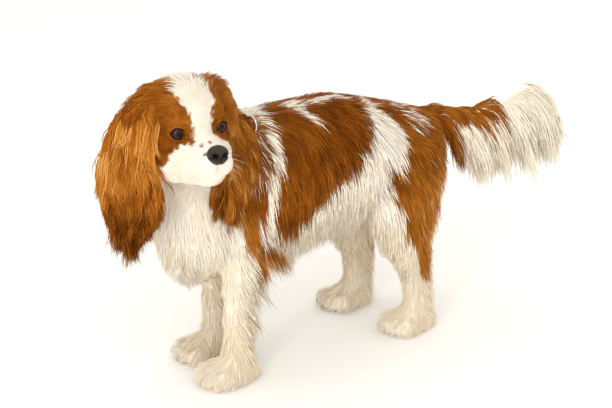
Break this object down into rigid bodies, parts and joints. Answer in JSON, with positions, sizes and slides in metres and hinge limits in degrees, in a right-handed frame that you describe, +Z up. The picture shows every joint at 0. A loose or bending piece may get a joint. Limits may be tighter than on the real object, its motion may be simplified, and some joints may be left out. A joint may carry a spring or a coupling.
{
  "type": "cavalier king charles spaniel",
  "caption": "Still life-size chestnut and white toy spaniel standing with its head turned to its left, long feathered ears, plumed tail and a collar with a ring.",
  "frame": {"origin": "on the floor, below the middle of the dog's box", "axes": "+Z up, -Y the way the dog's body faces, +X the dog's own left; the head is turned about 80 degrees to the dog's left"},
  "size_m": [0.2262, 0.7404, 0.3933],
  "materials": {
    "chestnut_coat": "long silky chestnut hair",
    "white_coat": "long silky cream-white hair",
    "eye": "wet dark brown eye",
    "nose_leather": "moist pebbled nose leather",
    "collar_leather": "dark brown strap leather",
    "ring_steel": "polished steel wire"
  },
  "bodies": {
    "root": {"trunk": "white_coat", "neck": "white_coat", "head": "chestnut_coat", "muzzle": "white_coat", "lower_jaw": "white_coat", "ear_left": "chestnut_coat", "ear_right": "chestnut_coat", "tail": "white_coat", "leg_front_left": "white_coat", "paw_front_left": "white_coat", "leg_front_right": "white_coat", "paw_front_right": "white_coat", "leg_hind_left": "white_coat", "paw_hind_left": "white_coat", "leg_hind_right": "white_coat", "paw_hind_right": "white_coat", "eye_left": "eye", "eye_right": "eye", "nose": "nose_leather", "collar": "collar_leather", "collar_ring": "ring_steel"}
  },
  "joints": []
}
